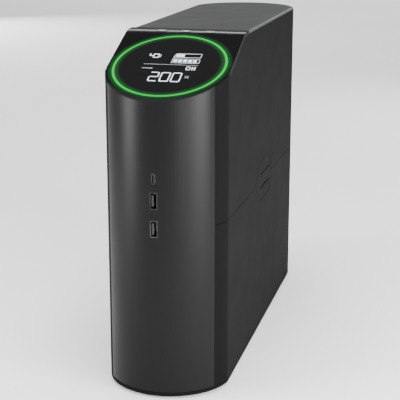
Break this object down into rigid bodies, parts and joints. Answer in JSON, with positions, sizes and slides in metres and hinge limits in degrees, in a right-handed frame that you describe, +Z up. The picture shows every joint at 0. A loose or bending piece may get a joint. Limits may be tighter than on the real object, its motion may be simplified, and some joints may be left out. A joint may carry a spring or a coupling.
{
  "type": "uninterruptible power supply",
  "caption": "Slim tower battery backup with a round lit display on a sloping top, front charging ports, a latched side battery door and a recessed rear socket panel.",
  "frame": {"origin": "on the floor under the middle of the footprint's bounding box", "axes": "front faces -Y, +X to the right seen from the front, +Z up"},
  "size_m": [0.108, 0.4, 0.305],
  "materials": {
    "case": "fine satin grain",
    "top": "fine satin grain",
    "rear_metal": "black powder coat",
    "feet": "matte",
    "gloss": "piano black",
    "window": "smoked and polished",
    "light_guide": "frosted, lit green",
    "lcd": "smooth",
    "board": "solder mask",
    "switches": "moulded",
    "port_shells": "nickel plated",
    "port_tongues": "moulded",
    "sockets": "moulded",
    "breaker": "moulded",
    "contacts": "nickel plated",
    "fan": "moulded",
    "screws": "zinc plated",
    "battery_cases": "moulded",
    "battery_fittings": "moulded",
    "strap": "woven",
    "chassis": "galvanised",
    "core": "varnished laminations",
    "coil": "enamelled copper wire",
    "heatsink": "extruded",
    "capacitors": "sleeved"
  },
  "bodies": {
    "case": {"base_tray": "case", "front_fascia": "case", "side_cover_left": "case", "side_cover_right": "case", "rear_frame": "case", "top_cover": "top", "rear_panel": "rear_metal", "foot_front_left": "feet", "foot_front_right": "feet", "foot_rear_left": "feet", "foot_rear_right": "feet", "display_bezel": "gloss", "display_window": "window", "ring_light": "light_guide", "lcd_module": "lcd", "display_board": "board", "usb_board": "board", "main_board": "board", "mute_switch": "switches", "menu_switch": "switches", "power_switch": "switches", "usb_c_shell": "port_shells", "usb_a_upper_shell": "port_shells", "usb_a_lower_shell": "port_shells", "usb_c_tongue": "port_tongues", "usb_a_upper_tongue": "port_tongues", "usb_a_lower_tongue": "port_tongues", "outlet_strip_left": "sockets", "outlet_strip_right": "sockets", "inlet_housing": "sockets", "network_jack_in": "sockets", "network_jack_out": "sockets", "data_port": "sockets", "breaker_bushing": "sockets", "inlet_contacts": "contacts", "fan_frame": "fan", "fan_screw_1": "screws", "fan_screw_2": "screws", "fan_screw_3": "screws", "fan_screw_4": "screws", "battery_bay": "chassis", "chassis_shelf": "chassis", "transformer_core": "core", "transformer_coil": "coil", "heatsink": "heatsink", "capacitor_1": "capacitors", "capacitor_2": "capacitors"},
    "battery_door": {"battery_door": "case"},
    "door_latch": {"door_latch": "case"},
    "battery_cartridge": {"battery_lower": "battery_cases", "battery_upper": "battery_cases", "battery_connector": "battery_fittings", "battery_pull_strap": "strap"},
    "mute_button": {"mute_button": "gloss"},
    "menu_button": {"menu_button": "gloss"},
    "power_button": {"power_button": "gloss"},
    "breaker_button": {"breaker_button": "breaker"},
    "fan_rotor": {"fan_rotor": "fan"}
  },
  "joints": [
    {"name": "battery_cartridge_slide", "type": "slide", "parent": "case", "child": "battery_cartridge", "axis": [1, 0, 0], "range_m": [0, 0.112]},
    {"name": "battery_door_lift_off", "type": "slide", "parent": "case", "child": "battery_door", "axis": [1, 0, 0], "range_m": [0, 0.224]},
    {"name": "door_latch_press", "type": "slide", "parent": "battery_door", "child": "door_latch", "axis": [-1, 0, 0], "range_m": [0, 0.0012], "stiffness_N_per_m": 900},
    {"name": "mute_press", "type": "slide", "parent": "case", "child": "mute_button", "axis": [0, 0.2008, -0.9796], "range_m": [0, 0.0008], "stiffness_N_per_m": 900},
    {"name": "menu_press", "type": "slide", "parent": "case", "child": "menu_button", "axis": [0, 0.2008, -0.9796], "range_m": [0, 0.0008], "stiffness_N_per_m": 900},
    {"name": "power_press", "type": "slide", "parent": "case", "child": "power_button", "axis": [0, 0.2008, -0.9796], "range_m": [0, 0.0008], "stiffness_N_per_m": 900},
    {"name": "breaker_trip", "type": "slide", "parent": "case", "child": "breaker_button", "axis": [0, 1, 0], "range_m": [0, 0.003]},
    {"name": "fan_spin", "type": "hinge", "parent": "case", "child": "fan_rotor", "pos_m": [0.01, 0.1396, 0.237], "axis": [0, 1, 0], "continuous": true}
  ],
  "couplings": [
    {"joint": "battery_door_lift_off", "follows": "battery_cartridge_slide", "ratio": 2}
  ]
}
